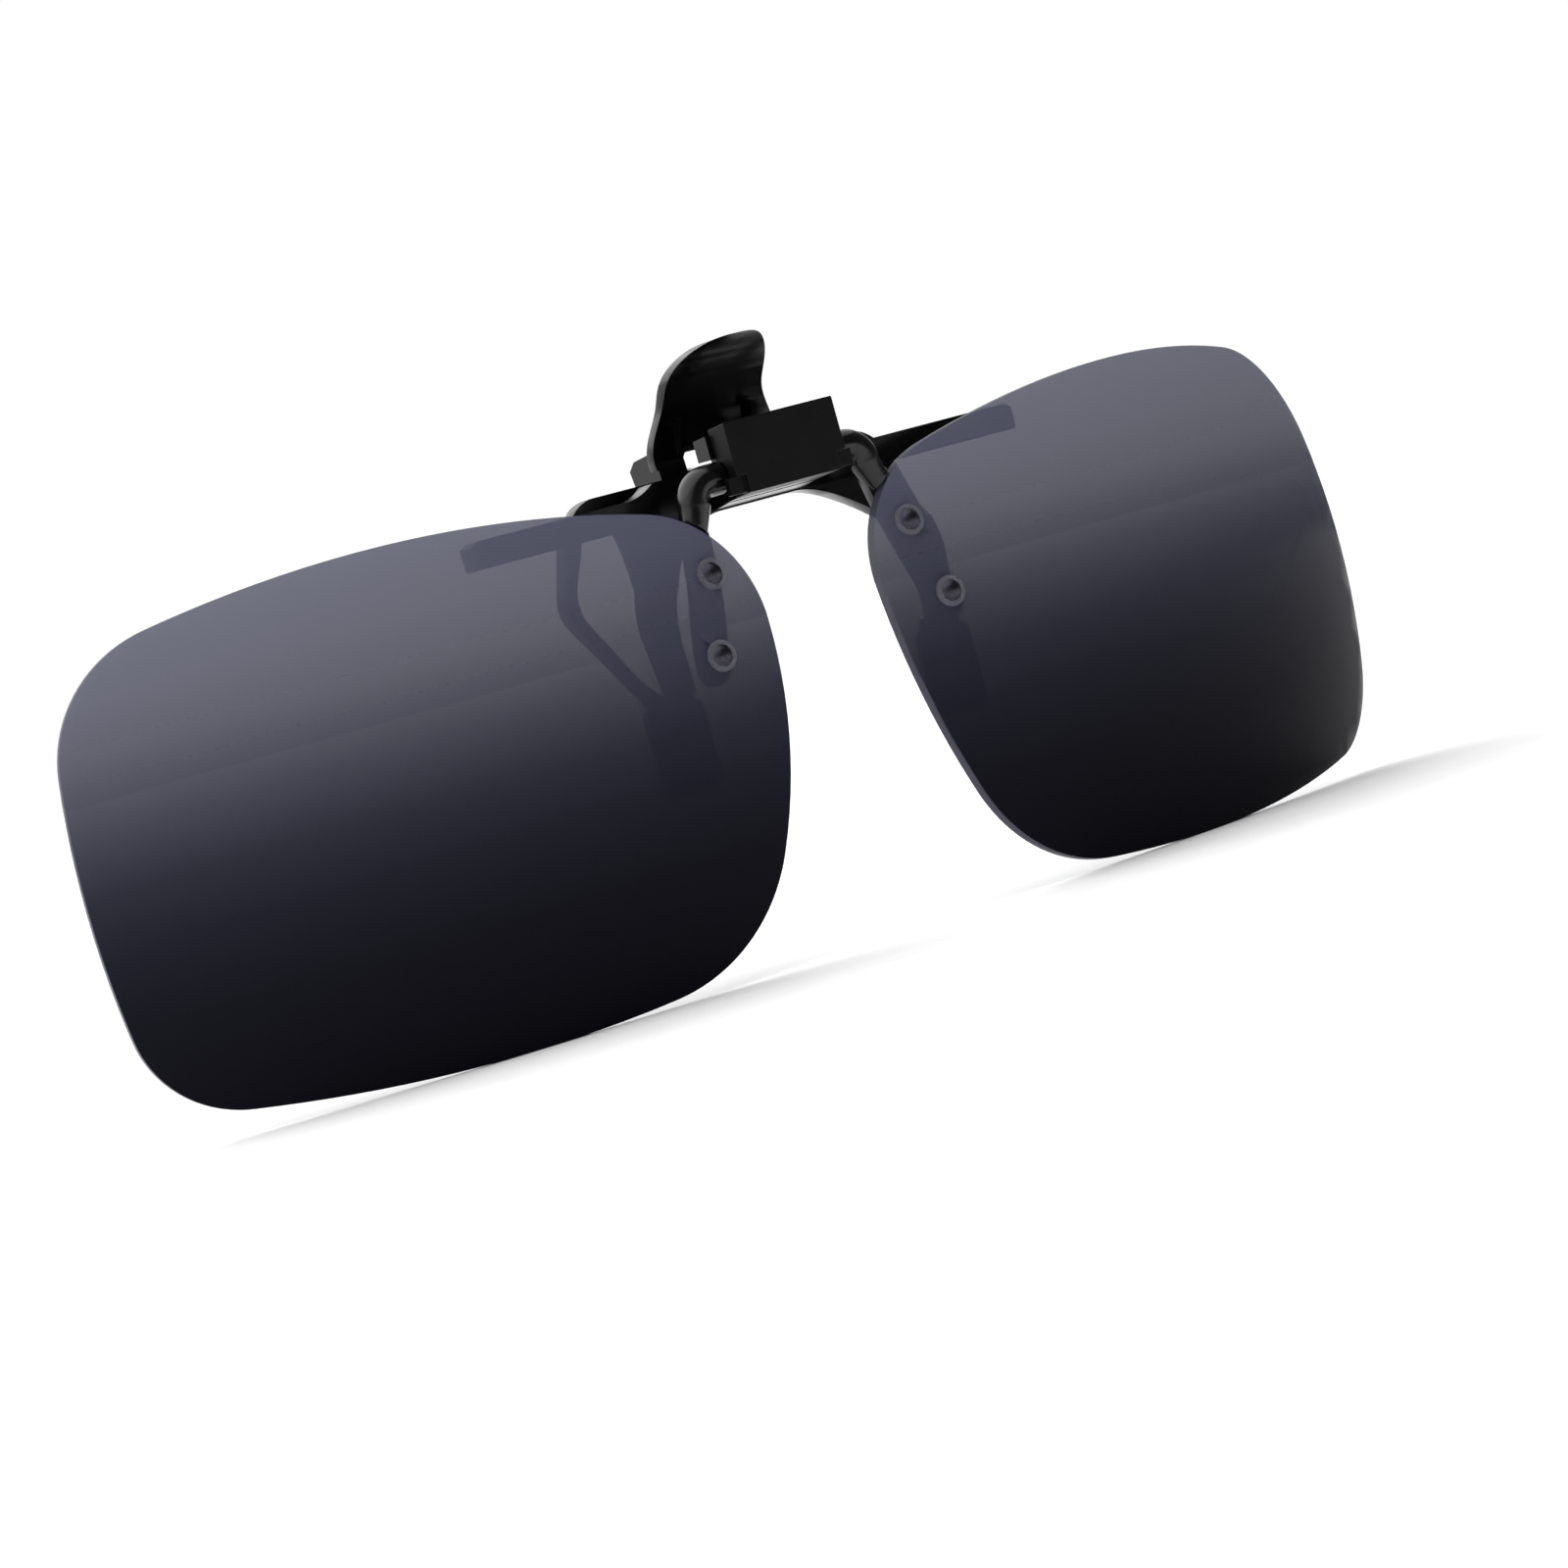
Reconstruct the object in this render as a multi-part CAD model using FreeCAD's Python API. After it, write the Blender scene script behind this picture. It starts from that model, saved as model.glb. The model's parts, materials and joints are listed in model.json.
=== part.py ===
import FreeCAD, Part
import math
import os

# Flip-up clip-on sunglasses: two riveted tinted lenses on a carrier that flips up
# about a detented hinge, and a sprung clamp whose four soft-tipped claws pinch a
# pair of spectacles.  Millimetres.  +X is to the right as seen from the front,
# the front faces -Y, and +Z is up.
#
# Shapes are drawn in the lens datum: x = 0 between the lenses, y = 0 at the front
# of the lens centres and z = 0 at their mid height.  They are written out in the
# part's own frame, whose origin is the middle of the grip between the claws.

V = FreeCAD.Vector

# ---- lenses ----
LENS_CENTRE_X = 36.3        # lens centre from the middle plane
LENS_WRAP = 13.1            # degrees that the outer edge is swept back
LENS_RADIUS = 88.0          # base-6 spherical front surface
LENS_THICK = 0.8
# outline sides: direction, distance from the centre, lean (degrees), side radius
LENS_SIDES = [
    (0.0, 29.3, -9.9, 45.0),        # nose
    (90.0, 20.6, -1.4, 102.0),      # top
    (180.0, 30.0, -0.5, 69.0),      # temple
    (270.0, 20.6, -0.4, 138.0),     # bottom
]
LENS_CORNERS = [10.8, 11.3, 9.0, 15.15]     # nose-top, top-temple, temple-bottom, bottom-nose

# ---- rivets that hold each lens, in lens coordinates: towards the nose, up ----
RIVET_PLACES = {"upper": (25.9, 11.7), "lower": (24.5, 5.2)}
RIVET_SHANK_R = 0.5
RIVET_HEAD_R = 0.9
RIVET_HEAD_H = 0.45
RIVET_TAIL_R = 0.8
RIVET_TAIL_H = 0.25
RIVET_TAIL_ROOM = 0.15
RIVET_HOLE_CLEAR = 0.05
WASHER_R = 1.3
WASHER_T = 0.3
STACK_GAP = 0.03            # air left between faces that are clamped together

# ---- flip hinge and its housing; heights follow the hinge axis ----
FLIP_Y = 0.6
FLIP_Z = 19.0
ARM_ROD_R = 1.35
JOURNAL_R = 1.2
HINGE_CLEAR = 0.05
CAM_SIDE = 2.1              # square cam on the axle that the detent spring bears on
CAM_HALF_LENGTH = 3.4
CAM_ROOM = 0.2
HOUSING_HALF_W = 5.45
LUG_SETBACK = 0.35
LUG_THICK = 0.7
LUG_CLEAR = 0.1             # between the lug and the rod behind it
HOUSING_FRONT_Y = FLIP_Y - ARM_ROD_R - LUG_CLEAR - LUG_THICK - LUG_SETBACK
HOUSING_TOP_Z = FLIP_Z + 4.15
HOUSING_BOTTOM_Z = FLIP_Z - 1.8
HOUSING_PITCH = 4.0         # degrees that the top and underside fall towards the back
LUG_IN_X = HOUSING_HALF_W - 0.85
LUG_OUT_X = HOUSING_HALF_W + 0.7
LUG_TOP_Z = FLIP_Z - 0.3
LUG_BOTTOM_Z = HOUSING_BOTTOM_Z + 0.1
LUG_ROOT = 0.5              # how far the lug runs into the block
BACK_LAYER_T = 1.9
BACK_LAYER_EXTRA = 0.4      # how far the back layer stands past the housing's ends
BACK_LAYER_DROP = 0.45
ELBOW_ROOM = 0.25
LEAF_T = 0.15
LEAF_W = 1.6
LEAF_SIDE_ROOM = 0.1
LEAF_ROOM = 0.9
LEAF_LIFT = 0.04
SIDE_GAP = 0.2              # between a turning part and the cheek beside it

# ---- lens carrier arms ----
ELBOW_X = HOUSING_HALF_W + 1.45     # where the rod starts to turn down
ELBOW_BEND_R = 1.7
PAD_THICK = 1.0
PAD_HALF_W = 1.4
PAD_END = 2.2               # how far the pad runs on below the lower rivet
ROD_TIP_R = 1.0
ROD_TIP_BACK = 0.5          # the middle of the rod's tip sits this far behind the lens's back
ROD_TIP_RISE = 2.6          # above the upper rivet
LENS_EDGE_ROOM = 0.25       # air kept round the lens's edge

# ---- front jaw: top bars, web, legs ----
BAR_Y = 5.4
BAR_T = 2.0
BAR_TOP_Z = FLIP_Z + 0.1
BAR_BOTTOM_Z = FLIP_Z - 2.15
BAR_REACH_X = 27.35
LEG_FRONT_Y = 1.8
LEG_T = 1.6
LEG_BEND_Z = 11.5           # below this the leg is upright
LEG_END_Z = 3.0
WEB_HALF_W = 4.4
WEB_BOTTOM_Z = FLIP_Z - 2.5
WEB_LAP = 0.5

# ---- clamp hinge ----
PIN_Y = 10.0
PIN_Z = FLIP_Z + 0.2
PIN_R = 0.6
PIN_CLEAR = 0.05
PIN_SEAT_CLEAR = 0.02
PIN_CHAMFER = 0.1
PIN_SETBACK = 0.15
EAR_IN_X = 2.0
EAR_T = 1.1
EAR_R = 1.45
EAR_ROOT_Z = PIN_Z - 2.2
CHEEK_OUT_X = 6.0

# ---- rear jaw: thumb lever, cross arms and struts; measured from the clamp pin ----
LEVER_T = 1.0
LEVER_ROOT = (PIN_Y - 1.7, PIN_Z + 2.8)
LEVER_MIDDLE = (PIN_Y - 3.4, PIN_Z + 6.9)
LEVER_TIP = (PIN_Y - 8.4, PIN_Z + 10.7)
WINDOW_HALF_W = EAR_IN_X + EAR_T + SIDE_GAP     # open middle that clears the ears and spring
WINDOW_TOP_Z = PIN_Z + 2.75
RIB_T = 0.6
RIB_X = WINDOW_HALF_W + RIB_T / 2
STRUT_FRONT_Y = 8.0
STRUT_T = 1.5
CROSS_TOP_Z = PIN_Z + 1.0
CROSS_BOTTOM_Z = PIN_Z - 2.2
CROSS_LAP = 0.6             # how far the cross arm runs into the cheek
STRUT_BEND_Z = 11.0         # below this the strut leans forward to its claw
STRUT_FOOT_Z = 3.4

# ---- torsion spring ----
SPRING_WIRE_R = 0.22
SPRING_COIL_R = 1.15
SPRING_TURNS = 5
SPRING_PITCH = 0.55
BRIDGE_T = 0.6              # rear wall between the cheeks that the spring bears on
BRIDGE_GAP = 0.3
BRIDGE_BOTTOM_Z = PIN_Z - 1.3
BRIDGE_LAP = 1.0
SPRING_FRONT_LEG = 4.8      # lies on the web's top
SPRING_REAR_LEG = 2.1       # lies on the rear jaw's bridge
SPRING_REST = 0.1           # air under each leg

SPRING_LEG_BOTTOM_Z = PIN_Z + SPRING_COIL_R - SPRING_WIRE_R
WEB_TOP_Z = SPRING_LEG_BOTTOM_Z - SPRING_REST

# ---- claw tips and their soft sleeves ----
GRIP_Y = 3.7
GRIP_GAP = 0.4              # between the closed sleeves
SLEEVE_T = 2.2
SLEEVE_W = 3.2
SLEEVE_TOP_Z = 2.6
SLEEVE_BOTTOM_Z = -5.0
SLEEVE_SHOULDER = 0.9       # rise of the arched mouth
SLEEVE_ROUND = 0.6
SLEEVE_FIT = 0.03
TANG_T = 1.2
TANG_W = 1.8
TANG_END_Z = SLEEVE_BOTTOM_Z + 1.4
TANG_ROOT = 0.4             # how far a tang runs up into its leg
FRONT_CLAW_X = 13.6
REAR_CLAW_X = 13.9

GRIP_Z = (SLEEVE_TOP_Z + SLEEVE_BOTTOM_Z) / 2
ORIGIN = V(0, GRIP_Y, GRIP_Z)
SIDES = {"left": -1, "right": 1}
FAR = 60.0                  # longer than anything it cuts


# ---- small helpers ----
def polygon_yz(points, x_from, x_to):
    """A flat plate with its outline in Y and Z, from one x to another."""
    wire = Part.makePolygon([V(x_from, y, z) for y, z in points + points[:1]])
    return Part.Face(wire).extrude(V(x_to - x_from, 0, 0))


def curve(points, plane):
    """A smooth spline through points, in the XZ or the YZ plane."""
    spline = Part.BSplineCurve()
    spline.interpolate([plane(a, b) for a, b in points])
    return spline.toShape()


def line(a, b, plane):
    return Part.makeLine(plane(*a), plane(*b))


def xz(x, z):
    return V(x, 0, z)


def yz(y, z):
    return V(0, y, z)


def plate(edges, direction, start):
    """A plate of the closed outline, moved to start and extruded along direction."""
    face = Part.Face(Part.Wire(Part.__sortEdges__(edges)))
    face.translate(start)
    return face.extrude(direction)


def box(x0, x1, y0, y1, z0, z1):
    return Part.makeBox(x1 - x0, y1 - y0, z1 - z0, V(x0, y0, z0))


def rod_x(radius, x0, x1, y, z):
    return Part.makeCylinder(radius, x1 - x0, V(x0, y, z), V(1, 0, 0))


def mirrored(shape):
    return shape.mirror(V(0, 0, 0), V(1, 0, 0))


def both_sides(shape):
    return shape.fuse(mirrored(shape))


def fuse_all(shapes):
    return shapes[0].fuse(shapes[1:]).removeSplitter()


# ---- lenses ----
def direction(angle):
    return V(math.cos(math.radians(angle)), 0, math.sin(math.radians(angle)))


def lens_side(base, distance, lean, radius):
    """Centre of the arc that makes one side of the outline."""
    return direction(base) * distance - direction(base + lean) * radius


def corner(first, first_r, second, second_r, radius, towards):
    """Centre of the round that blends two side arcs from inside, and its two touches."""
    a = first_r - radius
    b = second_r - radius
    apart = second - first
    d = apart.Length
    along = (a * a - b * b + d * d) / (2 * d)
    across = math.sqrt(a * a - along * along)
    way = apart * (1 / d)
    side = V(-way.z, 0, way.x)
    options = [first + way * along + side * across, first + way * along - side * across]
    centre = max(options, key=lambda p: p.dot(towards))
    touches = [centre + (centre - c).normalize() * radius for c in (first, second)]
    return centre, touches


def arc_between(centre, radius, start, end):
    bulge = (start - centre).normalize() + (end - centre).normalize()
    return Part.Arc(start, centre + bulge.normalize() * radius, end).toShape()


def lens_outline():
    """Four side arcs blended by four corner rounds, in the lens's own XZ plane."""
    centres = [lens_side(*side) for side in LENS_SIDES]
    radii = [side[3] for side in LENS_SIDES]
    rounds = []
    for i, radius in enumerate(LENS_CORNERS):
        j = (i + 1) % 4
        towards = direction(LENS_SIDES[i][0] + 45)
        rounds.append(corner(centres[i], radii[i], centres[j], radii[j], radius, towards))
    edges = []
    for i in range(4):
        before = rounds[i - 1][1][1]
        centre, (start, end) = rounds[i]
        edges.append(arc_between(centres[i], radii[i], before, start))
        edges.append(arc_between(centre, LENS_CORNERS[i], start, end))
    return Part.Wire(edges)


def lens_point(u, v):
    """A point on the lens's front surface, in lens coordinates."""
    depth = LENS_RADIUS - math.sqrt(LENS_RADIUS ** 2 - u * u - v * v)
    return V(u, depth, v)


def inward(u, v):
    """The direction through the lens from front to back at a point."""
    return (V(0, LENS_RADIUS, 0) - lens_point(u, v)).normalize()


def place_left(shape):
    """From lens coordinates, u towards the nose, to the left lens's place."""
    shape = shape.copy()
    shape.rotate(V(0, 0, 0), V(0, 0, 1), -LENS_WRAP)
    shape.translate(V(-LENS_CENTRE_X, 0, 0))
    return shape


def sphere(radius):
    return Part.makeSphere(radius, V(0, LENS_RADIUS, 0))


def make_lens():
    face = Part.Face(lens_outline())
    face.translate(V(0, -5, 0))
    blank = face.extrude(V(0, 30, 0))
    shell = sphere(LENS_RADIUS).cut(sphere(LENS_RADIUS - LENS_THICK))
    lens = blank.common(shell)
    for u, v in RIVET_PLACES.values():
        start = lens_point(u, v) - inward(u, v) * 2
        lens = lens.cut(Part.makeCylinder(RIVET_SHANK_R + RIVET_HOLE_CLEAR, 5, start, inward(u, v)))
    return lens


def stack_point(place, depth):
    """A point on a rivet's axis, a depth behind the lens's front surface."""
    return lens_point(*place) + inward(*place) * depth


def make_washer(place):
    axis = inward(*place)
    start = stack_point(place, -WASHER_T - STACK_GAP)
    disc = Part.makeCylinder(WASHER_R, WASHER_T, start, axis)
    return disc.cut(Part.makeCylinder(RIVET_SHANK_R + RIVET_HOLE_CLEAR, WASHER_T, start, axis))


def make_rivet(place):
    """Domed head on the washer, shank through lens and pad, spread tail behind the pad."""
    axis = inward(*place)
    seat = -WASHER_T - 2 * STACK_GAP
    tail = LENS_THICK + 2 * STACK_GAP + PAD_THICK
    shank = Part.makeCylinder(RIVET_SHANK_R, tail - seat, stack_point(place, seat), axis)
    dome_r = (RIVET_HEAD_R ** 2 + RIVET_HEAD_H ** 2) / (2 * RIVET_HEAD_H)
    ball = Part.makeSphere(dome_r, stack_point(place, seat - RIVET_HEAD_H + dome_r))
    cap = Part.makeCylinder(RIVET_HEAD_R + 1, RIVET_HEAD_H + 1, stack_point(place, seat), axis * -1)
    end = Part.makeCone(RIVET_TAIL_R, RIVET_SHANK_R, RIVET_TAIL_H, stack_point(place, tail), axis)
    return fuse_all([shank, ball.common(cap), end])


# ---- lens carrier ----
def rivet_spot(name):
    """Where a rivet passes the right lens's front surface."""
    spot = lens_point(*RIVET_PLACES[name])
    turn = math.radians(LENS_WRAP)
    x = spot.x * math.cos(turn) + spot.y * math.sin(turn)
    y = spot.y * math.cos(turn) - spot.x * math.sin(turn)
    return V(LENS_CENTRE_X - x, y, spot.z)


def behind_lens(depth):
    """All the room on the right that is further than a depth behind the lens's front."""
    return mirrored(place_left(sphere(LENS_RADIUS - depth)))


def lens_room():
    """Room in front of the right lens's back, within its outline and a little round it."""
    face = Part.Face(lens_outline().makeOffset2D(LENS_EDGE_ROOM))
    face.translate(V(0, -5, 0))
    room = face.extrude(V(0, 30, 0)).cut(sphere(LENS_RADIUS - LENS_THICK - STACK_GAP))
    return mirrored(place_left(room))


def pad_outline():
    """The arm seen from the front: narrow under the elbow, then even past both rivets."""
    upper = rivet_spot("upper")
    lower = rivet_spot("lower")
    top_x = ELBOW_X + ELBOW_BEND_R
    top_z = FLIP_Z - ELBOW_BEND_R
    w = PAD_HALF_W
    outer = [(top_x + 0.6, top_z), (upper.x + 0.65, upper.z + 2.6), (upper.x + w - 0.1, upper.z),
             (lower.x + w, lower.z), (lower.x + w + 0.1, lower.z - PAD_END + 1)]
    foot = [outer[-1], (lower.x + w / 2, lower.z - PAD_END), (lower.x - w + 0.6, lower.z - PAD_END + 0.3)]
    inner = [foot[-1], (lower.x - w, lower.z), (upper.x - w, upper.z), (top_x - 0.6, top_z)]
    edges = [curve(outer, xz), curve(foot, xz), curve(inner, xz)]
    edges.append(line(inner[-1], outer[0], xz))
    return edges


def make_arm():
    """Right arm: a round elbow whose rod tapers into a thin pad on the lens's back."""
    front = LENS_THICK + STACK_GAP
    pad = plate(pad_outline(), V(0, 16, 0), V(0, -8, 0))
    pad = pad.common(behind_lens(front)).cut(behind_lens(front + PAD_THICK))
    turn = Part.makeCircle(ARM_ROD_R, V(ELBOW_X, FLIP_Y, FLIP_Z), V(1, 0, 0))
    pivot = V(ELBOW_X, FLIP_Y, FLIP_Z - ELBOW_BEND_R)
    elbow = Part.Face(Part.Wire(turn)).revolve(pivot, V(0, 1, 0), 90)
    rod = rod_x(ARM_ROD_R, HOUSING_HALF_W + SIDE_GAP, ELBOW_X, FLIP_Y, FLIP_Z)
    start = V(ELBOW_X + ELBOW_BEND_R, FLIP_Y, FLIP_Z - ELBOW_BEND_R)
    upper = rivet_spot("upper")
    tip = V(upper.x - 0.3, 0, upper.z + ROD_TIP_RISE)
    tip.y = upper.y + (tip.z ** 2 - upper.z ** 2) / (2 * LENS_RADIUS) + LENS_THICK + ROD_TIP_BACK
    along = tip - start
    taper = Part.makeCone(ARM_ROD_R, ROD_TIP_R, along.Length, start, along)
    end = Part.makeSphere(ROD_TIP_R, tip)
    knuckle = Part.makeSphere(ARM_ROD_R, start)
    round_part = fuse_all([knuckle, taper, end, elbow, rod]).cut(lens_room())
    return fuse_all([pad, round_part])


def rivet_cuts():
    """Holes for the right lens's rivets through the pad, with room for their tails."""
    cuts = []
    for place in RIVET_PLACES.values():
        axis = inward(*place)
        start = stack_point(place, 0)
        cuts.append(Part.makeCylinder(RIVET_SHANK_R + RIVET_HOLE_CLEAR, 8, start, axis))
        floor = stack_point(place, LENS_THICK + STACK_GAP + PAD_THICK)
        cuts.append(Part.makeCylinder(RIVET_TAIL_R + RIVET_TAIL_ROOM, 6, floor, axis))
    return [mirrored(place_left(c)) for c in cuts]


def make_carrier():
    arm = make_arm()
    for cut in rivet_cuts():
        arm = arm.cut(cut)
    axle = rod_x(JOURNAL_R, -HOUSING_HALF_W - SIDE_GAP, HOUSING_HALF_W + SIDE_GAP, FLIP_Y, FLIP_Z)
    half = CAM_SIDE / 2
    middle = rod_x(FAR, -CAM_HALF_LENGTH, CAM_HALF_LENGTH, FLIP_Y, FLIP_Z)
    axle = axle.cut(middle)
    cam = box(-CAM_HALF_LENGTH, CAM_HALF_LENGTH, FLIP_Y - half, FLIP_Y + half,
              FLIP_Z - half, FLIP_Z + half)
    return fuse_all([arm, mirrored(arm), axle, cam])


# ---- hinge housing, in two layers that meet in the axle's plane ----
def hinge_room():
    """Everything inside the housing: bearings, the turning cam and the leaf spring."""
    bearing = rod_x(JOURNAL_R + HINGE_CLEAR, -FAR, FAR, FLIP_Y, FLIP_Z)
    cam_r = CAM_SIDE / math.sqrt(2) + CAM_ROOM
    length = CAM_HALF_LENGTH + CAM_ROOM
    cam = rod_x(cam_r, -length, length, FLIP_Y, FLIP_Z)
    top = FLIP_Z + CAM_SIDE / 2 + LEAF_LIFT + LEAF_T
    half_w = LEAF_W / 2 + LEAF_SIDE_ROOM
    flex = box(-length, length, FLIP_Y - half_w, FLIP_Y + half_w, FLIP_Z, top + LEAF_ROOM)
    return fuse_all([bearing, cam, flex])


def slope(y, z):
    """A height that falls towards the back with the housing's pitch."""
    return z - (y - HOUSING_FRONT_Y) * math.tan(math.radians(HOUSING_PITCH))


def make_housing():
    """Front layer of the hinge block, with a small lug under each end."""
    split = FLIP_Y - STACK_GAP / 2
    front = HOUSING_FRONT_Y
    profile = [(front, HOUSING_BOTTOM_Z), (front, HOUSING_TOP_Z), (split, slope(split, HOUSING_TOP_Z)),
               (split, slope(split, HOUSING_BOTTOM_Z))]
    block = polygon_yz(profile, -HOUSING_HALF_W, HOUSING_HALF_W)
    notch = box(LUG_IN_X, FAR, -9, 9, 0, LUG_TOP_Z)
    block = block.cut([notch, mirrored(notch)])
    lug_front = front + LUG_SETBACK
    lug = box(LUG_IN_X - LUG_ROOT, LUG_OUT_X, lug_front, lug_front + LUG_THICK, LUG_BOTTOM_Z, LUG_TOP_Z)
    return fuse_all([block, both_sides(lug)]).cut(hinge_room())


def make_leaf():
    """Flat spring that snaps onto the square cam's faces."""
    z = FLIP_Z + CAM_SIDE / 2 + LEAF_LIFT
    half = CAM_HALF_LENGTH - CAM_ROOM
    return box(-half, half, FLIP_Y - LEAF_W / 2, FLIP_Y + LEAF_W / 2, z, z + LEAF_T)


# ---- front jaw ----
def leg_outlines():
    """Outer and inner edges of the right leg, from the bar down to the claw."""
    x = FRONT_CLAW_X
    outer = [(x - 0.4, BAR_BOTTOM_Z), (x + 0.5, 13.0), (x + 1.4, 9.6), (x + 1.15, 6.2), (x + 0.85, LEG_END_Z)]
    inner = [(x - 1.35, LEG_END_Z), (x - 1.3, 7.9), (x - 1.9, 10.6), (x - 3.3, 12.7), (x - 5.3, 14.6),
             (x - 7.8, WEB_BOTTOM_Z - 0.4), (x - 10.1, WEB_BOTTOM_Z)]
    return outer, inner


def make_front_half():
    """Right half of the front jaw's flat frame: top bar and leg."""
    outer, inner = leg_outlines()
    step = [(9.5, WEB_TOP_Z), (11.0, BAR_TOP_Z + 0.2), (12.5, BAR_TOP_Z)]
    reach = BAR_REACH_X
    bevel = (reach - 0.7, BAR_TOP_Z)
    nose = (reach, BAR_TOP_Z - 0.4)
    heel = (reach - 0.1, BAR_BOTTOM_Z)
    edges = [line((0, WEB_TOP_Z), step[0], xz), curve(step, xz)]
    edges.append(line(step[-1], bevel, xz))
    edges.append(line(bevel, nose, xz))
    edges.append(line(nose, heel, xz))
    edges.append(line(heel, outer[0], xz))
    edges.append(curve(outer, xz))
    edges.append(line(outer[-1], inner[0], xz))
    edges.append(curve(inner, xz))
    edges.append(line(inner[-1], (0, WEB_BOTTOM_Z), xz))
    edges.append(line((0, WEB_BOTTOM_Z), (0, WEB_TOP_Z), xz))
    frame = plate(edges, V(0, 20, 0), V(0, -5, 0))
    bar_front = BAR_Y - BAR_T / 2
    bar_back = BAR_Y + BAR_T / 2
    leg_back = LEG_FRONT_Y + LEG_T
    bend_top = BAR_BOTTOM_Z - 0.4
    profile = [(bar_front, FAR), (bar_front, bend_top), (LEG_FRONT_Y, LEG_BEND_Z), (LEG_FRONT_Y, 0),
               (leg_back, 0), (leg_back, LEG_BEND_Z + 0.4), (bar_back, bend_top + 0.4), (bar_back, FAR)]
    frame = frame.common(polygon_yz(profile, 0, FAR))
    tang = make_tang(FRONT_CLAW_X, front_tang_y(), LEG_END_Z + TANG_ROOT)
    return fuse_all([frame, tang])


def front_tang_y():
    return GRIP_Y - GRIP_GAP / 2 - SLEEVE_T / 2


def rear_tang_y():
    return GRIP_Y + GRIP_GAP / 2 + SLEEVE_T / 2


def make_tang(x, y, top):
    """Tongue that a soft sleeve is pushed onto."""
    return box(x - TANG_W / 2, x + TANG_W / 2, y - TANG_T / 2, y + TANG_T / 2, TANG_END_Z, top)


def make_ear():
    """Right ear, which carries the clamp pin behind the frame."""
    start = BAR_Y
    profile = [(start, EAR_ROOT_Z), (PIN_Y, PIN_Z - EAR_R), (PIN_Y, PIN_Z + EAR_R), (start, WEB_TOP_Z)]
    x_out = EAR_IN_X + EAR_T
    arm = polygon_yz(profile, EAR_IN_X, x_out)
    eye = rod_x(EAR_R, EAR_IN_X, x_out, PIN_Y, PIN_Z)
    return fuse_all([arm, eye])


def make_front_jaw():
    """Frame, web to the hinge block's back layer, and the ears for the clamp pin."""
    half = make_front_half()
    split = FLIP_Y + STACK_GAP / 2
    back = FLIP_Y + BACK_LAYER_T
    top = HOUSING_TOP_Z - BACK_LAYER_DROP
    layer_half = HOUSING_HALF_W + BACK_LAYER_EXTRA
    profile = [(split, slope(split, HOUSING_BOTTOM_Z)), (split, slope(split, top)), (back, slope(back, top)),
               (back, slope(back, HOUSING_BOTTOM_Z))]
    layer = polygon_yz(profile, -layer_half, layer_half)
    notch = box(LUG_IN_X, FAR, -9, 9, 0, FLIP_Z + ARM_ROD_R + ELBOW_ROOM)
    layer = layer.cut([notch, mirrored(notch)])
    start = back - WEB_LAP
    web_profile = [(start, slope(back, HOUSING_BOTTOM_Z)), (start, WEB_TOP_Z), (BAR_Y, WEB_TOP_Z),
                   (BAR_Y, WEB_BOTTOM_Z)]
    web = polygon_yz(web_profile, -WEB_HALF_W, WEB_HALF_W)
    pieces = [half, mirrored(half), layer, web, make_ear(), mirrored(make_ear())]
    jaw = fuse_all(pieces).cut(hinge_room())
    return jaw.cut(rod_x(PIN_R + PIN_SEAT_CLEAR, -FAR, FAR, PIN_Y, PIN_Z))


# ---- rear jaw ----
def strut_outlines():
    """Outer and inner edges of the right strut, from the cross arm down to the claw."""
    x = REAR_CLAW_X
    outer = [(x - 0.7, CROSS_TOP_Z), (x + 1.3, CROSS_TOP_Z - 0.9), (x + 2.8, CROSS_TOP_Z - 3.2),
             (x + 3.8, 14.0), (x + 4.25, 12.3), (x + 4.0, 10.6), (x + 2.9, 7.8), (x + 1.9, 5.0),
             (x + 1.0, SLEEVE_TOP_Z + 0.1)]
    inner = [(x - 0.8, SLEEVE_TOP_Z + 0.1), (x + 1.1, 4.9), (x + 2.0, 7.8), (x + 2.95, 11.0), (x + 3.0, 12.8),
             (x + 2.3, 14.6), (x + 1.3, CROSS_BOTTOM_Z)]
    return outer, inner


def make_strut():
    """Right cross arm and strut, bowed outwards to clear a nose pad, with its tongue."""
    outer, inner = strut_outlines()
    root_x = CHEEK_OUT_X - CROSS_LAP
    edges = [line((root_x, CROSS_TOP_Z), outer[0], xz), curve(outer, xz)]
    edges.append(line(outer[-1], inner[0], xz))
    edges.append(curve(inner, xz))
    edges.append(line(inner[-1], (root_x, CROSS_BOTTOM_Z), xz))
    edges.append(line((root_x, CROSS_BOTTOM_Z), (root_x, CROSS_TOP_Z), xz))
    front = STRUT_FRONT_Y
    foot_front = rear_tang_y() - TANG_T / 2
    front_edge = [(front, FAR), (front, STRUT_BEND_Z), (foot_front, STRUT_FOOT_Z), (foot_front, 0)]
    profile = front_edge + [(y + STRUT_T, z) for y, z in reversed(front_edge)]
    strut = plate(edges, V(0, 20, 0), V(0, -2, 0)).common(polygon_yz(profile, 0, FAR))
    tang = make_tang(REAR_CLAW_X, rear_tang_y(), STRUT_FOOT_Z)
    return fuse_all([strut, tang])


# half widths of the thumb lever at heights above the clamp pin
LEVER_HALF = [(6.05, 1.8), (6.0, 4.0), (5.0, 6.9), (4.95, 8.3), (4.6, 9.3), (3.5, 10.3), (0.0, 10.9)]
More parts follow.
